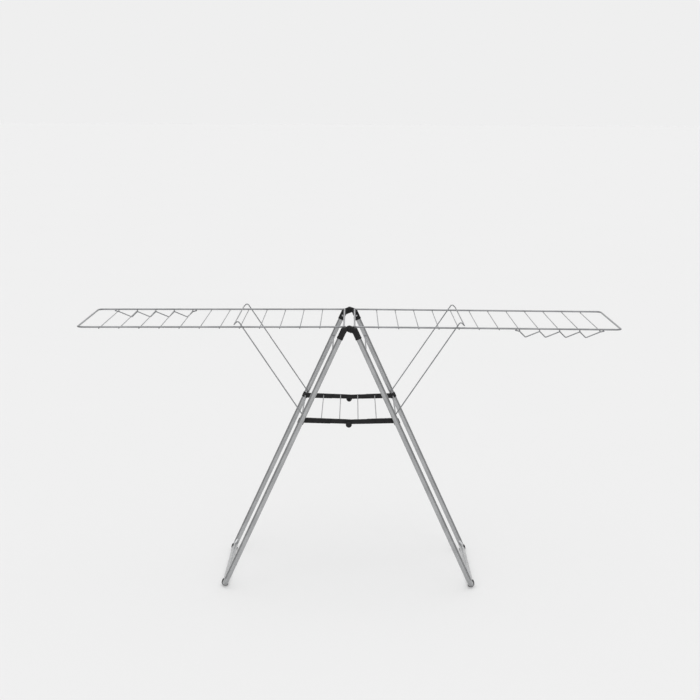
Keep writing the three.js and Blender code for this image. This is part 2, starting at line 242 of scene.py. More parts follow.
def sweep(shape, path, radius, sides, closed=False, bore=0.0, nose=0.0):
    """A round wire or tube along a path. A wire's ends are rounded over the length of its nose."""
    count = len(path)
    stations = []
    for index, point in enumerate(path):
        before = path[index - 1] if closed or index else point
        after = path[(index + 1) % count] if closed or index < count - 1 else point
        stations.append((point, (after - before).normalized(), 1.0))
    if nose:
        first, last = stations[0], stations[-1]
        angles = [math.radians(angle) for angle in nose_angles]
        stations[0] = (first[0] + first[1] * nose, first[1], 1.0)
        stations[-1] = (last[0] - last[1] * nose, last[1], 1.0)
        lead = [(first[0] + first[1] * nose * (1 - math.cos(a)), first[1], math.sin(a))
                for a in angles]
        tail = [(last[0] - last[1] * nose * (1 - math.cos(a)), last[1], math.sin(a))
                for a in reversed(angles)]
        stations = lead + stations + tail
    across = stations[0][1].orthogonal().normalized()
    outer, inner = [], []
    for index, (point, along, share) in enumerate(stations):
        if index:
            across = stations[index - 1][1].rotation_difference(along) @ across
        side = along.cross(across)
        spokes = [across * math.cos(math.tau * k / sides) + side * math.sin(math.tau * k / sides)
                  for k in range(sides)]
        outer.append([shape.verts.new(point + spoke * radius * share) for spoke in spokes])
        if bore:
            inner.append([shape.verts.new(point + spoke * bore) for spoke in spokes])
    loft(shape, outer, closed)
    if bore:
        loft(shape, [list(reversed(ring)) for ring in inner])
        loft(shape, [list(reversed(outer[0])), list(reversed(inner[0]))])
        loft(shape, [outer[-1], inner[-1]])
    elif not closed:
        shape.faces.new(list(reversed(outer[0])))
        shape.faces.new(outer[-1])


def as_mesh(name, shape, space=Matrix.Identity(4), crease=sharp_edge):
    """A shaded mesh, carried from the space it was drawn in to the rack's own space."""
    bmesh.ops.recalc_face_normals(shape, faces=shape.faces)
    mesh = bpy.data.meshes.new(name)
    shape.to_mesh(mesh)
    shape.free()
    mesh.transform(space)
    mesh.shade_smooth()
    mesh.set_sharp_from_angle(angle=math.radians(crease))
    return mesh


def stand(name, mesh, material, turn=Matrix.Identity(4)):
    """A piece in the scene, turned round when it belongs to the left half."""
    piece = bpy.data.objects.new(name, mesh.copy())
    piece.data.name = name
    piece.data.transform(turn)
    piece.data.materials.clear()
    piece.data.materials.append(material)
    scene.collection.objects.link(piece)
    return piece


def carved(mesh, tools):
    """The mesh with the tools' meshes cut out of it."""
    piece = bpy.data.objects.new("carved", mesh)
    scene.collection.objects.link(piece)
    cutters = []
    for tool in tools:
        cutter = bpy.data.objects.new("cutter", tool)
        scene.collection.objects.link(cutter)
        cutters.append(cutter)
        cut = piece.modifiers.new("cut", "BOOLEAN")
        cut.operation = "DIFFERENCE"
        cut.solver = "EXACT"
        cut.object = cutter
    bpy.context.view_layer.update()
    done = bpy.data.meshes.new_from_object(
        piece.evaluated_get(bpy.context.evaluated_depsgraph_get()))
    for leftover in (piece, *cutters):
        bpy.data.objects.remove(leftover)
    return done


def along_y(x, z, low_y, high_y):
    """A straight path along Y."""
    return [Vector((x, low_y, z)), Vector((x, high_y, z))]


def drill(radius, path):
    """A round cutter along a path."""
    shape = bmesh.new()
    sweep(shape, path, radius, 24)
    return as_mesh("drill", shape)


# Silver-grey epoxy powder coat: sprayed on dry and baked, so it has a satin shine that is broken
# by a soft orange-peel skin, and metal flakes that make the grey drift a little along the tube.
# The peel is about 1 mm on the real coat and is drawn at 5 mm so that it shows.
powder_coat, tree = new_material("silver_powder_coat_baked")
coat_greys = ("#A5A6A7", "#B3B4B5")
peel_width = 0.005
drift_width = 0.06
place = add_node(tree, "ShaderNodeTexCoord")
drift = add_node(tree, "ShaderNodeTexNoise", {"Scale": 1 / drift_width, "Detail": 3.0},
                 {"Vector": place.outputs["Object"]})
grey = add_node(tree, "ShaderNodeValToRGB", links={"Fac": drift.outputs["Fac"]})
grey.color_ramp.elements[0].position = 0.35
grey.color_ramp.elements[0].color = linear(coat_greys[0])
grey.color_ramp.elements[1].position = 0.65
grey.color_ramp.elements[1].color = linear(coat_greys[1])
peel = add_node(tree, "ShaderNodeTexNoise", {"Scale": 1 / peel_width, "Detail": 2.0},
                {"Vector": place.outputs["Object"]})
shine = add_node(tree, "ShaderNodeMapRange", {"To Min": 0.22, "To Max": 0.32},
                 {"Value": peel.outputs["Fac"]})
skin = add_node(tree, "ShaderNodeBump", {"Strength": 0.08, "Distance": 0.0004},
                {"Height": peel.outputs["Fac"]})
surface = add_node(tree, "ShaderNodeBsdfPrincipled", {"Metallic": 0.85}, {
    "Base Color": grey.outputs["Color"],
    "Roughness": shine.outputs["Result"],
    "Normal": skin.outputs["Normal"],
})
add_node(tree, "ShaderNodeOutputMaterial", links={"Surface": surface.outputs[0]})

tube_shape = bmesh.new()
sweep(tube_shape, bent_path([
    (tube_offset, -leg_y, tube_top, 0),
    (tube_offset, -leg_y, -leg_length, tube_bend),
    (tube_offset, leg_y, -leg_length, tube_bend),
    (tube_offset, leg_y, tube_top, 0),
], steps=20), tube_radius, sides=40, bore=tube_radius - tube_wall)
drilled = [
    drill(radius + drill_clearance,
          along_y(tube_offset, -drop, end * (leg_y - drill_start), end * (leg_y - drill_stop)))
    for end in (-1, 1)
    for radius, drop in ((stay_hole, stay_drop), (spreader_hole, spreader_drop))
]
tube_mesh = carved(as_mesh("leg_tube", tube_shape), drilled)
tube_mesh.transform(leg_space)
tube_mesh.set_sharp_from_angle(angle=math.radians(sharp_edge))
for side, turn in halves.items():
    tube = stand(f"{side}_leg_bent_tube", tube_mesh, powder_coat, turn)
    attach(tube, f"{side}_leg_frame")
    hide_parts(f"{side}_leg_tube")

# ---------------------------------------------------------------------------------------------
# Cross braces: a 5 mm steel wire between the two tubes of each leg frame, just under the hinge,
# with a bead of weld round each end. It is coated together with the tube.

brace_radius = 0.0025
brace_drop = 0.108
brace_inset = 0.002
brace_offset = tube_offset - brace_inset
bead_sink = 0.0004
bead_profile = ((0.0, 0.0046), (0.0012, 0.0042), (0.0026, 0.0033), (0.0040, 0.0026))


def spun(shape, profile, centre, along, sides=24):
    """A turned solid: (distance, radius) pairs along an axis from a centre."""
    along = Vector(along).normalized()
    across = along.orthogonal().normalized()
    side = along.cross(across)
    rings, tips = [], []
    for distance, radius in profile:
        middle = Vector(centre) + along * distance
        if radius == 0:
            tips.append((len(rings), shape.verts.new(middle)))
            continue
        rings.append([
            shape.verts.new(middle + (across * math.cos(math.tau * k / sides)
                                      + side * math.sin(math.tau * k / sides)) * radius)
            for k in range(sides)
        ])
    loft(shape, rings)
    for before, tip in tips:
        ring = rings[min(before, len(rings) - 1)]
        for k in range(sides):
            shape.faces.new((ring[k], ring[(k + 1) % sides], tip))
    if not any(before == 0 for before, _ in tips):
        shape.faces.new(list(reversed(rings[0])))
    if not any(before == len(rings) for before, _ in tips):
        shape.faces.new(rings[-1])


# Grey coated wire: cold-drawn steel wire dipped in the same powder after welding. The film is
# thinner and paler than on the tubes, with a slightly wavy shine from the drawing.
coated_wire, tree = new_material("grey_coated_drawn_wire")
wire_greys = ("#808183", "#8F9092")
wave_width = 0.008
place = add_node(tree, "ShaderNodeTexCoord")
drift = add_node(tree, "ShaderNodeTexNoise", {"Scale": 1 / drift_width, "Detail": 3.0},
                 {"Vector": place.outputs["Object"]})
grey = add_node(tree, "ShaderNodeValToRGB", links={"Fac": drift.outputs["Fac"]})
grey.color_ramp.elements[0].position = 0.35
grey.color_ramp.elements[0].color = linear(wire_greys[0])
grey.color_ramp.elements[1].position = 0.65
grey.color_ramp.elements[1].color = linear(wire_greys[1])
wave = add_node(tree, "ShaderNodeTexNoise", {"Scale": 1 / wave_width, "Detail": 2.0},
                {"Vector": place.outputs["Object"]})
shine = add_node(tree, "ShaderNodeMapRange", {"To Min": 0.3, "To Max": 0.42},
                 {"Value": wave.outputs["Fac"]})
skin = add_node(tree, "ShaderNodeBump", {"Strength": 0.2, "Distance": 0.0003},
                {"Height": wave.outputs["Fac"]})
surface = add_node(tree, "ShaderNodeBsdfPrincipled", {"Metallic": 0.5}, {
    "Base Color": grey.outputs["Color"],
    "Roughness": shine.outputs["Result"],
    "Normal": skin.outputs["Normal"],
})
add_node(tree, "ShaderNodeOutputMaterial", links={"Surface": surface.outputs[0]})

brace_end = leg_y - tube_radius
brace_shape = bmesh.new()
sweep(brace_shape, along_y(brace_offset, -brace_drop, -brace_end, brace_end), brace_radius, 20)
for end in (-1, 1):
    spun(brace_shape, bead_profile, (brace_offset, end * (brace_end + bead_sink), -brace_drop),
         (0, -end, 0))
brace_mesh = as_mesh("cross_brace", brace_shape, leg_space)
for side, turn in halves.items():
    brace = stand(f"{side}_leg_welded_brace", brace_mesh, coated_wire, turn)
    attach(brace, f"{side}_leg_frame")
    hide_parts(f"{side}_leg_cross_brace")

# ---------------------------------------------------------------------------------------------
# Hinge sockets: one-piece nylon mouldings pushed over the tube ends and riveted. Each has a
# round knuckle for the hinge pin and a small hook, open at the top, that the wing's inner wire
# snaps into. On each end of the rack one half's knuckle sits inside the other's.

sleeve_radius = 0.0104
collar_radius = 0.0108
sleeve_bore = tube_radius + drill_clearance
sleeve_top = -0.002
sleeve_bottom = -0.043
sleeve_edge = 0.004
bore_gap = 0.001
collar_height = 0.005
collar_step = 0.0008
knuckle_radius = 0.0125
knuckle_thickness = 0.0102
knuckle_gap = 0.0003
# For the knuckles inside and outside: the angle where the rim ends, and the corner below it.
inner_knuckle = (177, -0.0168)
outer_knuckle = (221.6, -0.0083)
knuckle_corner_x = 0.0045
recess_radius = 0.0131
recess_start, recess_reach = 0.0001, 0.014
boss_radius, boss_recess = 0.0080, 0.0062
boss_sink = 0.0004
boss_floor = 0.0001
rim_height = 0.0008
shoulder_slope = math.radians(20)
shoulder_start, shoulder_end = -0.003, 0.036
shoulder_rise = 0.02
shoulder_reach = 0.012
pin_radius = 0.003
pin_hole_ends = (0.27, 0.31)
hook_radius = 0.0056
hook_y = 0.252
hook_width = 0.010
hook_side = 0.0002
mouth_side = 0.009
mouth_low, mouth_high = 0.0018, 0.009
lug_low_x, lug_high_x = 0.008, 0.015
lug_low_z, lug_high_z = -0.020, -0.011
wall_depth = 0.006
rib_radius = 0.0013
rib_offset = 0.0101
rib_top_gap, rib_bottom_gap = 0.006, 0.001
rail_radius = 0.003
rail_hole_near, rail_hole_far = 0.012, 0.013
wing_hook = leg_space.inverted() @ pivot["right_wing_fold"]
rivet_drop = 0.027
rivet_height = 0.0014
full_turn = (0, 345, 23)
overrun = 0.001
long_overrun = 0.02


def extruded(shape, outline, low_y, high_y):
    """A flat plate: an outline in X and Z between two values of Y."""
    near = [shape.verts.new((x, low_y, z)) for x, z in outline]
    far = [shape.verts.new((x, high_y, z)) for x, z in outline]
    loft(shape, [near, far])
    shape.faces.new(list(reversed(near)))
    shape.faces.new(far)


def arc(centre_x, centre_z, radius, first, last, steps=16):
    """Points on an arc in X and Z, between two angles in degrees."""
    angles = [math.radians(first + (last - first) * step / steps) for step in range(steps + 1)]
    return [(centre_x + radius * math.cos(a), centre_z + radius * math.sin(a)) for a in angles]


def rectangle(low_x, high_x, low_z, high_z):
    """An outline of four corners."""
    return [(low_x, low_z), (high_x, low_z), (high_x, high_z), (low_x, high_z)]


def tilted(outline, angle, centre_x=0.0, centre_z=0.0):
    """An outline turned from +Z towards +X about the origin and then moved to a centre."""
    return [(centre_x + x * math.cos(angle) + z * math.sin(angle),
             centre_z - x * math.sin(angle) + z * math.cos(angle)) for x, z in outline]


def moulded(name, solids, cuts, grain, keep, space=Matrix.Identity(4)):
    """A plastic moulding: solids joined, cuts taken out, and every edge softened like a tool's."""
    piece = bpy.data.objects.new(name, as_mesh(name, solids[0]))
    scene.collection.objects.link(piece)
    tools = []
    for operation, shapes in (("UNION", solids[1:]), ("DIFFERENCE", cuts)):
        for shape in shapes:
            tool = bpy.data.objects.new("tool", as_mesh("tool", shape))
            scene.collection.objects.link(tool)
            tools.append(tool)
            step = piece.modifiers.new("shape", "BOOLEAN")
            step.operation = operation
            step.solver = "EXACT"
            step.object = tool
    skin = piece.modifiers.new("skin", "REMESH")
    skin.mode = "VOXEL"
    skin.voxel_size = grain
    soften = piece.modifiers.new("soften", "SMOOTH")
    soften.factor = 0.5
    soften.iterations = 4
    thin = piece.modifiers.new("thin", "DECIMATE")
    thin.ratio = keep
    bpy.context.view_layer.update()
    mesh = bpy.data.meshes.new_from_object(
        piece.evaluated_get(bpy.context.evaluated_depsgraph_get()))
    for leftover in (piece, *tools):
        bpy.data.objects.remove(leftover)
    mesh.transform(space)
    mesh.shade_smooth()
    return mesh


def filled(draw, *settings):
    """A shape drawn on its own by one of the drawing functions."""
    shape = bmesh.new()
    draw(shape, *settings)
    return shape


def y_span(end, near, far):
    """Low and high Y of a stretch given by its distances from the rack's middle plane."""
    return (near, far) if end > 0 else (-far, -near)


# Black glass-filled nylon: injection moulded in a spark-eroded tool, so it is dull charcoal with
# a fine even grain, slightly greyer where it is handled. The grain is 0.3 mm on the real part
# and is drawn at 1.2 mm so that it shows.
moulded_nylon, tree = new_material("charcoal_nylon_spark_grained")
nylon_greys = ("#131314", "#1A1A1B", "#252526")
grain_width = 0.0012
scuff_width = 0.02
place = add_node(tree, "ShaderNodeTexCoord")
scuff = add_node(tree, "ShaderNodeTexNoise", {"Scale": 1 / scuff_width, "Detail": 5.0,
                                               "Roughness": 0.65},
                 {"Vector": place.outputs["Object"]})
grey = add_node(tree, "ShaderNodeValToRGB", links={"Fac": scuff.outputs["Fac"]})
grey.color_ramp.elements[0].position = 0.35
grey.color_ramp.elements[0].color = linear(nylon_greys[0])
grey.color_ramp.elements[1].position = 0.58
grey.color_ramp.elements[1].color = linear(nylon_greys[1])
grey.color_ramp.elements.new(0.74).color = linear(nylon_greys[2])
grain = add_node(tree, "ShaderNodeTexNoise", {"Scale": 1 / grain_width, "Detail": 2.0},
                 {"Vector": place.outputs["Object"]})
shine = add_node(tree, "ShaderNodeMapRange", {"To Min": 0.48, "To Max": 0.66},
                 {"Value": scuff.outputs["Fac"]})
skin = add_node(tree, "ShaderNodeBump", {"Strength": 0.35, "Distance": 0.00025},
                {"Height": grain.outputs["Fac"]})
surface = add_node(tree, "ShaderNodeBsdfPrincipled",
                   {"IOR": 1.53, "Specular IOR Level": 0.22}, {
    "Base Color": grey.outputs["Color"],
    "Roughness": shine.outputs["Result"],
    "Normal": skin.outputs["Normal"],
})
add_node(tree, "ShaderNodeOutputMaterial", links={"Surface": surface.outputs[0]})

# Zinc-plated steel: bright-dipped rivets, cold headed, so they are paler and shinier than the
# coated parts, with the milky patches of a thin plating.
zinc_plate, tree = new_material("zinc_plated_headed_steel")
zinc_greys = ("#A9AAAC", "#C6C7C9")
patch_width = 0.003
place = add_node(tree, "ShaderNodeTexCoord")
patch = add_node(tree, "ShaderNodeTexNoise", {"Scale": 1 / patch_width, "Detail": 3.0},
                 {"Vector": place.outputs["Object"]})
grey = add_node(tree, "ShaderNodeValToRGB", links={"Fac": patch.outputs["Fac"]})
grey.color_ramp.elements[0].position = 0.35
grey.color_ramp.elements[0].color = linear(zinc_greys[0])
grey.color_ramp.elements[1].position = 0.65
grey.color_ramp.elements[1].color = linear(zinc_greys[1])
shine = add_node(tree, "ShaderNodeMapRange", {"To Min": 0.22, "To Max": 0.38},
                 {"Value": patch.outputs["Fac"]})
skin = add_node(tree, "ShaderNodeBump", {"Strength": 0.15, "Distance": 0.0001},
                {"Height": patch.outputs["Fac"]})
surface = add_node(tree, "ShaderNodeBsdfPrincipled", {"Metallic": 1.0}, {
    "Base Color": grey.outputs["Color"],
    "Roughness": shine.outputs["Result"],
    "Normal": skin.outputs["Normal"],
})
add_node(tree, "ShaderNodeOutputMaterial", links={"Surface": surface.outputs[0]})

shoulder_angle = 90 - math.degrees(shoulder_slope + leg_splay)
shoulder_block = rectangle(shoulder_start, shoulder_end,
                           knuckle_radius, knuckle_radius + shoulder_rise)
shoulder_cut = tilted(shoulder_block, shoulder_slope + leg_splay)
hook_mouth = tilted(rectangle(-mouth_side, mouth_side, mouth_low, mouth_high),
                    leg_splay, wing_hook.x, wing_hook.z)
knuckle_web = [(0.006, -0.024), (tube_offset, -0.024), (0.0235, -0.0057)]
sleeve_profile = [(0.0, 0.0)]
sleeve_profile += [(sleeve_edge - sleeve_edge * math.sin(a),
                    sleeve_radius - sleeve_edge + sleeve_edge * math.cos(a))
                   for a in (math.radians(angle) for angle in (90, 65, 40, 20, 0))]
sleeve_profile += [
    (sleeve_top - sleeve_bottom - collar_height - collar_step, sleeve_radius),
    (sleeve_top - sleeve_bottom - collar_height, collar_radius),
    (sleeve_top - sleeve_bottom, collar_radius),
]
end_names = {"right": {-1: "front", 1: "rear"}, "left": {-1: "rear", 1: "front"}}
rivet_profile = ((0.0, 0.0), (0.0001, 0.0012), (0.0005, 0.0024), (0.0009, 0.0029), (0.0016, 0.003))

for end in (-1, 1):
    inside = end < 0
    last_angle, corner_z = inner_knuckle if inside else outer_knuckle
    knuckle_outline = arc(0, 0, knuckle_radius, shoulder_angle, last_angle)
    knuckle_outline += [(knuckle_corner_x, corner_z), *knuckle_web]
    plate_near = leg_y - knuckle_gap - knuckle_thickness if inside else leg_y + knuckle_gap
    plate_y = y_span(end, plate_near, plate_near + knuckle_thickness)
    if inside:
        recess_y = y_span(end, leg_y - recess_start, leg_y + recess_reach)
        face_y = plate_near - rim_height
        dish_y = y_span(end, face_y - overrun, face_y + rim_height)
    else:
        recess_y = y_span(end, leg_y - recess_reach, leg_y + recess_start)
        face_y = plate_near + knuckle_thickness
        dish_y = y_span(end, face_y + boss_floor, face_y + (rim_height + overrun))
    hook_span = y_span(end, hook_y, hook_y + hook_width)
    rail_hole = y_span(end, hook_y - rail_hole_near, hook_y + hook_width + rail_hole_far)
    rib_y = end * (leg_y + rib_offset)
    rib_path = [Vector((tube_offset, rib_y, sleeve_top - rib_top_gap)),
                Vector((tube_offset, rib_y, sleeve_bottom + rib_bottom_gap))]
    bore_path = [Vector((tube_offset, end * leg_y, tube_top + bore_gap)),
                 Vector((tube_offset, end * leg_y, sleeve_bottom - long_overrun))]
    sleeve = filled(spun, sleeve_profile, (tube_offset, end * leg_y, sleeve_top), (0, 0, -1), 48)
    socket_mesh = moulded(f"hinge_socket_{end}", [
        sleeve,
        filled(extruded, knuckle_outline, *plate_y),
        filled(extruded, arc(0, 0, boss_radius, *full_turn),
               *y_span(end, face_y, face_y + rim_height + boss_sink)),
        filled(extruded, rectangle(lug_low_x, lug_high_x, lug_low_z, lug_high_z),
               *y_span(end, hook_y, leg_y - wall_depth)),
        filled(extruded, rectangle(lug_low_x, lug_high_x + hook_side, lug_low_z, wing_hook.z),
               *hook_span),
        filled(sweep, along_y(wing_hook.x, wing_hook.z, *hook_span), hook_radius, 32),
        filled(sweep, rib_path, rib_radius, 12),
    ], [
        filled(sweep, bore_path, sleeve_bore, 48),
        filled(extruded, shoulder_cut,
               *y_span(end, leg_y - shoulder_reach, leg_y + shoulder_reach)),
        filled(extruded, hook_mouth,
               *y_span(end, hook_y - overrun, hook_y + hook_width + overrun)),
        filled(sweep, along_y(0, 0, *recess_y), recess_radius, 48),
        filled(sweep, along_y(0, 0, *(end * y for y in pin_hole_ends)),
               pin_radius + drill_clearance, 24),
        filled(extruded, arc(0, 0, boss_recess, *full_turn), *dish_y),
        filled(sweep, along_y(wing_hook.x, wing_hook.z, *rail_hole),
               rail_radius + drill_clearance, 24),
    ], grain=0.00045, keep=0.3, space=leg_space)
    rivet_shape = bmesh.new()
    spun(rivet_shape, rivet_profile,
         (tube_offset, end * (leg_y - sleeve_radius - rivet_height), -rivet_drop),
         (0, end, 0), 20)
    rivet_mesh = as_mesh(f"socket_rivet_{end}", rivet_shape, leg_space)
    for side, turn in halves.items():
        label = f"{end_names[side][end]}_{side}"
        socket = stand(f"{label}_nylon_socket", socket_mesh, moulded_nylon, turn)
        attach(socket, f"{side}_leg_frame")
        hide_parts(f"{label}_hinge_socket")
        rivet = stand(f"{label}_socket_rivet", rivet_mesh, zinc_plate, turn)
        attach(rivet, f"{side}_leg_frame")

# Hinge pins: 6 mm cold-headed steel pins through both knuckles, with a low domed head outside
# and a peened tail inside, chemically blackened so that they match the nylon.

# Black oxide on steel: a hot-dipped conversion film, so it is near black with a soft satin shine
# and faint brown-grey clouds where the film is thinner.
black_oxide, tree = new_material("black_oxide_headed_steel")
oxide_greys = ("#17171A", "#2B2A2A")
place = add_node(tree, "ShaderNodeTexCoord")
patch = add_node(tree, "ShaderNodeTexNoise", {"Scale": 1 / patch_width, "Detail": 3.0},
                 {"Vector": place.outputs["Object"]})
grey = add_node(tree, "ShaderNodeValToRGB", links={"Fac": patch.outputs["Fac"]})
grey.color_ramp.elements[0].position = 0.35
grey.color_ramp.elements[0].color = linear(oxide_greys[0])
grey.color_ramp.elements[1].position = 0.65
grey.color_ramp.elements[1].color = linear(oxide_greys[1])
shine = add_node(tree, "ShaderNodeMapRange", {"To Min": 0.32, "To Max": 0.48},
                 {"Value": patch.outputs["Fac"]})
surface = add_node(tree, "ShaderNodeBsdfPrincipled", {"Metallic": 0.8}, {
    "Base Color": grey.outputs["Color"],
    "Roughness": shine.outputs["Result"],
})
add_node(tree, "ShaderNodeOutputMaterial", links={"Surface": surface.outputs[0]})

pin_head_radius = 0.0055
pin_play = 0.0003
head_edge = 0.0003
head_band = 0.0006
head_height = 0.0015
dome_rise = 0.0009
dome_radius = pin_head_radius - 0.0001
pin_head = leg_y + knuckle_gap + knuckle_thickness + pin_play
pin_tail = leg_y - knuckle_gap - knuckle_thickness
pin_profile = [(pin_tail - 0.0006, 0.0), (pin_tail - 0.0004, 0.0018), (pin_tail, pin_radius)]
pin_profile += [(pin_head, pin_radius), (pin_head, pin_head_radius - head_edge),
                (pin_head + head_edge, pin_head_radius), (pin_head + head_band, dome_radius)]
pin_profile += [(pin_head + head_band + dome_rise * math.sin(a), dome_radius * math.cos(a))
                for a in (math.radians(angle) for angle in (20, 40, 60, 78))]
pin_profile += [(pin_head + head_height, 0.0)]
for label, end in (("front", -1), ("rear", 1)):
    pin_shape = bmesh.new()
    spun(pin_shape, pin_profile, (0, 0, hinge.z), (0, end, 0), 32)
    pin = stand(f"{label}_headed_pin", as_mesh("pin", pin_shape), black_oxide)
    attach(pin, "left_leg_frame")
    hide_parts(f"{label}_hinge_pin")

# ---------------------------------------------------------------------------------------------
# Foot clips: nylon bands that snap over the bottom run of each leg frame beside its bends, open
# at the upper inner side, with a flat underside and rounded lips.

clip_bore = tube_radius + drill_clearance
clip_length = 0.021
clip_gap = 0.001
clip_outer_y = leg_y - tube_bend - clip_gap
clip_edge = 0.0006
lip_shares = (0.45, 0.8, 0.95)
clip_first, clip_last = -150, 60
clip_steps = 42


def clip_section(outer, thickness):
    """Corners of the band's cross-section, as (radius, distance along the tube)."""
    edge = min(clip_edge, thickness / 3)
    inner = outer - thickness
    return [(inner, edge), (inner + edge, 0), (outer - edge, 0), (outer, edge),
            (outer, clip_length - edge), (outer - edge, clip_length),
            (inner + edge, clip_length), (inner, clip_length - edge)]


for end in (-1, 1):
    clip_shape = bmesh.new()
    rings = []
    for step in range(clip_steps + 1):
        angle = math.radians(clip_first + (clip_last - clip_first) * step / clip_steps)
        outer = foot_clip_radius
        if math.sin(angle) * outer < -foot_height:
            outer = -foot_height / math.sin(angle)
        lip = min(step, clip_steps - step)
        share = lip_shares[lip] if lip < len(lip_shares) else 1.0
        thickness = (outer - clip_bore) * share
        middle = (outer + clip_bore) / 2
        rings.append([
            clip_shape.verts.new((
                foot_x + radius * math.cos(angle),
                end * (clip_outer_y - along),
                foot_height + radius * math.sin(angle),
            ))
            for radius, along in clip_section(middle + thickness / 2, thickness)
        ])
    loft(clip_shape, rings)
    clip_shape.faces.new(list(reversed(rings[0])))
    clip_shape.faces.new(rings[-1])
    clip_mesh = as_mesh(f"foot_clip_{end}", clip_shape, crease=50)
    for side, turn in halves.items():
        label = f"{end_names[side][end]}_{side}"
        clip = stand(f"{label}_nylon_foot", clip_mesh, moulded_nylon, turn)
        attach(clip, f"{side}_leg_frame")
        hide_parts(f"{label}_foot_clip")

# ---------------------------------------------------------------------------------------------
# Wing frames: a 6 mm steel wire bent to a long rectangle and butt-welded into a loop in the
# middle of its inner end, which turns in the sockets' hooks.

wing_droop = math.radians(0.3)
rail_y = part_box("right_wing_frame")[1].y - rail_radius
wing_length = (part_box("right_wing_frame")[1].x - rail_radius - pivot["right_wing_fold"].x
               ) / math.cos(wing_droop)
inner_bend = 0.008
outer_bend = 0.022
butt_weld = ((-0.0022, 0.003), (-0.0012, 0.0034), (0.0, 0.0036), (0.0012, 0.0034), (0.0022, 0.003))
wing_space = (Matrix.Translation(pivot["right_wing_fold"])
              @ Matrix.Rotation(wing_droop, 4, "Y"))

frame_shape = bmesh.new()
frame_path = bent_path([
    (wing_length, 0, 0, 0),
    (wing_length, rail_y, 0, outer_bend),
    (0, rail_y, 0, inner_bend),
    (0, -rail_y, 0, inner_bend),
    (wing_length, -rail_y, 0, outer_bend),
    (wing_length, 0, 0, 0),
])
sweep(frame_shape, frame_path[:-1], rail_radius, 20, closed=True)
spun(frame_shape, butt_weld, (0, 0, 0), (0, 1, 0), 20)
frame_mesh = as_mesh("wing_frame", frame_shape, wing_space)
for side, turn in halves.items():
    rails = stand(f"{side}_wing_welded_frame", frame_mesh, coated_wire, turn)
    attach(rails, f"{side}_wing")
    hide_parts(f"{side}_wing_frame")

# Rods: 3 mm wires laid across under the frame and pressed into it by resistance welding, which
# leaves a small nugget at each rail. Their sheared ends stop just outside the rail's middle.
rod_radius = 0.0015
rod_count = 12
rod_overhang = 0.002
rod_end = rail_y + rod_overhang
weld_gap = 0.0003
rod_drop = rail_radius + rod_radius + weld_gap
nugget_half, nugget_radius = 0.0024, 0.0017
nugget_rise = 0.0016
nugget_profile = [(nugget_half * -math.cos(a), nugget_radius * math.sin(a))
                  for a in (math.radians(angle) for angle in range(0, 181, 20))]
nugget_profile[0] = (-nugget_half, 0.0)
nugget_profile[-1] = (nugget_half, 0.0)
for number in range(1, rod_count + 1):
    low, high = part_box(f"right_wing_rod_{number:02d}")
    rod_x = (wing_space.inverted() @ ((low + high) / 2)).x
    rod_shape = bmesh.new()
    sweep(rod_shape, along_y(rod_x, -rod_drop, -rod_end, rod_end), rod_radius, 14, nose=0.0007)
    for end in (-1, 1):
        spun(rod_shape, nugget_profile,
             (rod_x, end * rail_y, -rod_drop + nugget_rise), (0, 1, 0), 14)
    rod_mesh = as_mesh(f"rod_{number:02d}", rod_shape, wing_space)
    for side, turn in halves.items():
        rod = stand(f"{side}_wing_welded_rod_{number:02d}", rod_mesh, coated_wire, turn)
        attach(rod, f"{side}_wing")
        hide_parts(f"{side}_wing_rod_{number:02d}")

# Hanger rails: a 4 mm wire pressed into a zigzag of four teeth, which keeps clothes hangers
# apart. It is welded under the outer rods and its two tails are welded to the rail.
zigzag_radius = 0.002
zigzag_valley = 0.028
zigzag_tail = 0.015
zigzag_teeth = 4
zigzag_lean = 0.7
tail_bend, tooth_bend = 0.003, 0.004
tooth_nugget_drop = 0.0018
tail_nugget_inset, tail_nugget_drop = 0.004, 0.0004
rod_pitch = 0.067
rod_first = 0.080
zigzag_peak = rod_drop + rod_radius + zigzag_radius + weld_gap
zigzag_weld = rail_radius + zigzag_radius + weld_gap
outer_rod = rod_first + (rod_count - 1) * rod_pitch
zigzag_start = outer_rod + zigzag_tail
zigzag_end = outer_rod - zigzag_teeth * rod_pitch - zigzag_tail
zigzag_corners = [(zigzag_start, -rail_y, -zigzag_weld, 0),
                  (outer_rod, -rail_y, -zigzag_peak, tail_bend)]
for tooth in range(zigzag_teeth):
    tooth_start = outer_rod - tooth * rod_pitch
    zigzag_corners.append((tooth_start - zigzag_lean * rod_pitch, -rail_y, -zigzag_valley,
                           tooth_bend))
    zigzag_corners.append((tooth_start - rod_pitch, -rail_y, -zigzag_peak, tooth_bend))
zigzag_corners.append((zigzag_end, -rail_y, -zigzag_weld, 0))
zigzag_shape = bmesh.new()
sweep(zigzag_shape, bent_path(zigzag_corners, steps=8), zigzag_radius, 16, nose=0.001)
for tooth in range(zigzag_teeth + 1):
    spun(zigzag_shape, nugget_profile,
         (outer_rod - tooth * rod_pitch, -rail_y, -rod_drop - tooth_nugget_drop), (1, 0, 0), 14)
for tail_x in (zigzag_start - tail_nugget_inset, zigzag_end + tail_nugget_inset):
    spun(zigzag_shape, nugget_profile,
         (tail_x, -rail_y, -rail_radius - tail_nugget_drop), (1, 0, 0), 14)
zigzag_mesh = as_mesh("hanger_rail", zigzag_shape, wing_space)
for side, turn in halves.items():
    zigzag = stand(f"{side}_zigzag_hanger_rail", zigzag_mesh, coated_wire, turn)
    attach(zigzag, f"{side}_wing")
    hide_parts(f"{side}_hanger_rail")

# ---------------------------------------------------------------------------------------------
# Stays: a 4 mm wire hoop for each wing. Its two feet are bent out into holes in the leg tubes,
# its arms rise outside the rails, and its top bends over so that the crossbar lies on them.

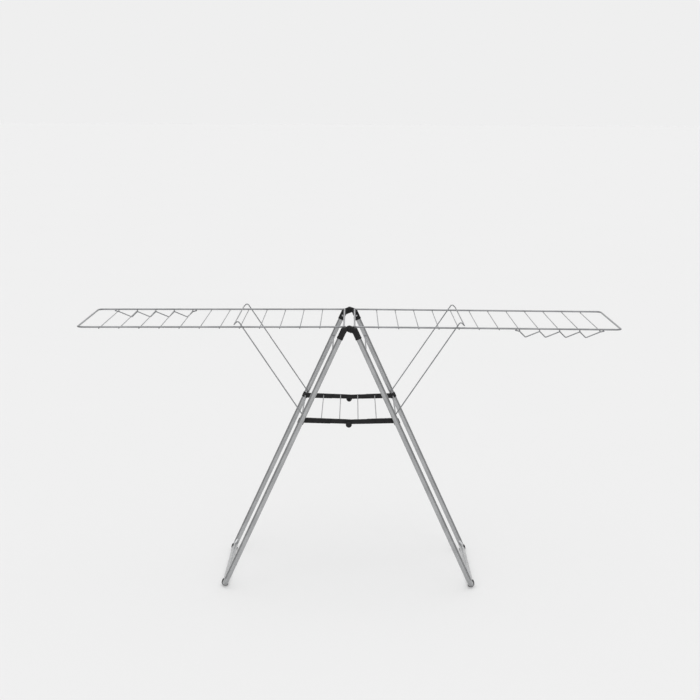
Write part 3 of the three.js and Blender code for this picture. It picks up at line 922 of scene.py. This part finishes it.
stay_radius = 0.00197
stay_y = 0.277
stay_stub_end = 0.2845
stay_foot = pivot["right_stay_swing"]
stay_peak_x, stay_peak_z = 0.3705, hinge.z + 0.0265
stay_bar_x, stay_bar_z = 0.3835, hinge.z + 0.0125
foot_bend, peak_bend, bar_bend = 0.004, 0.007, 0.006
stay_shape = bmesh.new()
sweep(stay_shape, bent_path([
    (stay_foot.x, -stay_stub_end, stay_foot.z, 0),
    (stay_foot.x, -stay_y, stay_foot.z, foot_bend),
    (stay_peak_x, -stay_y, stay_peak_z, peak_bend),
    (stay_bar_x, -stay_y, stay_bar_z, bar_bend),
    (stay_bar_x, stay_y, stay_bar_z, bar_bend),
    (stay_peak_x, stay_y, stay_peak_z, peak_bend),
    (stay_foot.x, stay_y, stay_foot.z, foot_bend),
    (stay_foot.x, stay_stub_end, stay_foot.z, 0),
], steps=8), stay_radius, 16, nose=0.0008)
stay_mesh = as_mesh("wing_stay", stay_shape)
for side, turn in halves.items():
    stay = stand(f"{side}_stay_bent_hoop", stay_mesh, coated_wire, turn)
    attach(stay, f"{side}_stay")
    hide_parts(f"{side}_wing_stay")

# ---------------------------------------------------------------------------------------------
# Spreader rods: a 5 mm drawn steel rod through both tubes of each leg frame, coated grey like
# the wires, on which that half of the spreader turns. It passes through a nylon bracket snapped
# round the inside of each tube.

spreader_radius = 0.0025
spreader_rod_end = 0.2845
bracket_radius = 0.0106
bracket_half = 0.009
bracket_boss = 0.0042
boss_inner_y = 0.2748
bracket_cut = 0.015
bracket_hole_ends = (0.27, 0.285)
rod_shape = bmesh.new()
sweep(rod_shape, along_y(tube_offset, -spreader_drop, -spreader_rod_end, spreader_rod_end),
      spreader_radius, 20, nose=0.0008)
rod_mesh = as_mesh("spreader_rod", rod_shape, leg_space)
for side, turn in halves.items():
    rod = stand(f"{side}_spreader_plated_rod", rod_mesh, coated_wire, turn)
    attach(rod, f"{side}_leg_frame")
    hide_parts(f"{side}_spreader_rod")

for end in (-1, 1):
    low_z = -spreader_drop - bracket_half
    high_z = -spreader_drop + bracket_half
    bracket_mesh = moulded(f"bracket_{end}", [
        filled(sweep, [Vector((tube_offset, end * leg_y, low_z)),
                       Vector((tube_offset, end * leg_y, high_z))], bracket_radius, 48),
        filled(sweep, along_y(tube_offset, -spreader_drop,
                              end * boss_inner_y, end * (leg_y - wall_depth)), bracket_boss, 32),
    ], [
        filled(sweep, [Vector((tube_offset, end * leg_y, low_z - overrun)),
                       Vector((tube_offset, end * leg_y, high_z + overrun))], sleeve_bore, 48),
        filled(extruded, rectangle(tube_offset - bracket_cut, tube_offset + bracket_cut,
                                   low_z - overrun, high_z + overrun),
               *y_span(end, leg_y, leg_y + bracket_cut)),
        filled(sweep, along_y(tube_offset, -spreader_drop, *(end * y for y in bracket_hole_ends)),
               spreader_radius + drill_clearance, 24),
    ], grain=0.00035, keep=0.35, space=leg_space)
    for side, turn in halves.items():
        label = f"{end_names[side][end]}_{side}"
        bracket = stand(f"{label}_nylon_bracket", bracket_mesh, moulded_nylon, turn)
        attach(bracket, f"{side}_leg_frame")
        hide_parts(f"{label}_spreader_bracket")

# Spreader bars: four nylon half-bars, 10 mm thick, that turn on the rods and meet in half-laps
# at the middle. Each has a round eye at both ends and a shallow ribbed panel in its outer face.
bar_inner_y, bar_outer_y = 0.2645, 0.2745
lap_inner_y, lap_outer_y = 0.2693, 0.2697
lap_length = 0.062
lap_below, lap_above = 0.02, 0.03
bar_hole_ends = (0.26, 0.28)
bar_centre_z = hinge.z - 0.323
bar_eye = 0.0075
bar_centre_eye = 0.009
knob_shaft = 0.0034
knob_play = 0.0004
bar_foot = pivot["right_spreader_fold"]
bar_outline = arc(0, bar_centre_z, bar_centre_eye, 180, 369, 24)
bar_outline += arc(bar_foot.x, bar_foot.z, bar_eye, -90, 90)
bar_top = [(0.148, bar_centre_z + 0.022), (-0.005, bar_centre_z + 0.0165)]
bar_outline += [*bar_top, (-bar_centre_eye, bar_centre_z + 0.0125)]


def bar_height(x):
    """Lower and upper edge of the bar's plain length at x."""
    share = (x - bar_centre_eye) / (bar_foot.x - bar_centre_eye)
    lower = bar_centre_z + (bar_foot.z - bar_eye - bar_centre_z) * share
    (outer_x, outer_z), (inner_x, inner_z) = bar_top
    upper = inner_z + (outer_z - inner_z) * (x - inner_x) / (outer_x - inner_x)
    return lower, upper


panel_starts = (0.068, 0.094, 0.120)
panel_length = 0.023
panel_margin = 0.0028
panel_depth = 0.0011
lap_block = rectangle(-long_overrun, lap_length,
                      bar_centre_z - lap_below, bar_centre_z + lap_above)
for end in (-1, 1):
    lap = (bar_inner_y - overrun, lap_outer_y) if end < 0 else (lap_inner_y, bar_outer_y + overrun)
    bar_hole = [end * y for y in bar_hole_ends]
    panels = []
    for panel_x in panel_starts:
        corners = []
        for x, edge, inward in ((panel_x, 0, 1), (panel_x + panel_length, 0, 1),
                                (panel_x + panel_length, 1, -1), (panel_x, 1, -1)):
            corners.append((x, bar_height(x)[edge] + inward * panel_margin))
        panels.append(filled(extruded, corners,
                             *y_span(end, bar_outer_y - panel_depth, bar_outer_y + overrun)))
    bar_mesh = moulded(f"spreader_bar_{end}", [
        filled(extruded, bar_outline, *y_span(end, bar_inner_y, bar_outer_y)),
    ], [
        filled(extruded, lap_block, *y_span(end, *lap)),
        filled(sweep, along_y(bar_foot.x, bar_foot.z, *bar_hole),
               spreader_radius + drill_clearance, 24),
        filled(sweep, along_y(0, bar_centre_z, *bar_hole), knob_shaft + knob_play, 24),
        *panels,
    ], grain=0.0005, keep=0.2)
    for side, turn in halves.items():
        label = f"{end_names[side][end]}_{side}"
        bar = stand(f"{label}_nylon_half_bar", bar_mesh, moulded_nylon, turn)
        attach(bar, f"{side}_spreader_half")
        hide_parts(f"{label}_spreader_bar")

# Spreader wires: 3 mm wires moulded into the bars, two in each half, which make four short lines
# for small things and keep the front and rear bars together.
wire_sink = 0.0012
wire_places = ((1, 0.031, lap_outer_y), (2, 0.0925, bar_inner_y))
for number, wire_x, front_face in wire_places:
    low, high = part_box(f"right_spreader_wire_{number}")
    wire_z = (low.z + high.z) / 2
    wire_shape = bmesh.new()
    sweep(wire_shape, along_y(wire_x, wire_z, -front_face - wire_sink, bar_inner_y + wire_sink),
          rod_radius, 14)
    wire_mesh = as_mesh(f"spreader_wire_{number}", wire_shape)
    for side, turn in halves.items():
        wire = stand(f"{side}_spreader_moulded_in_wire_{number}", wire_mesh, coated_wire, turn)
        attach(wire, f"{side}_spreader_half")
        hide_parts(f"{side}_spreader_wire_{number}")

# Centre knobs: round nylon studs that pin the half-laps together, with a domed, dished head.
knob_radius = 0.0102
knob_back = bar_outer_y + 0.0003
shaft_end = lap_outer_y + 0.0002
knob_profile = [
    (shaft_end, 0.0), (shaft_end, knob_shaft), (knob_back, knob_shaft),
    (knob_back, knob_radius - 0.0006), (knob_back + 0.0005, knob_radius),
    (knob_back + 0.0022, knob_radius), (knob_back + 0.0031, knob_radius - 0.0005),
    (knob_back + 0.0038, knob_radius - 0.0014), (knob_back + 0.0043, knob_radius - 0.0030),
    (knob_back + 0.0044, knob_radius - 0.0045), (knob_back + 0.0041, 0.0026),
    (knob_back + 0.0039, 0.0012), (knob_back + 0.0039, 0.0),
]
for label, side, end in (("front", "right", -1), ("rear", "left", 1)):
    knob_shape = bmesh.new()
    spun(knob_shape, knob_profile, (0, 0, bar_centre_z), (0, end, 0), 48)
    knob = stand(f"{label}_nylon_knob", as_mesh("knob", knob_shape, crease=40), moulded_nylon)
    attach(knob, f"{side}_spreader_half")
    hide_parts(f"{label}_spreader_knob")
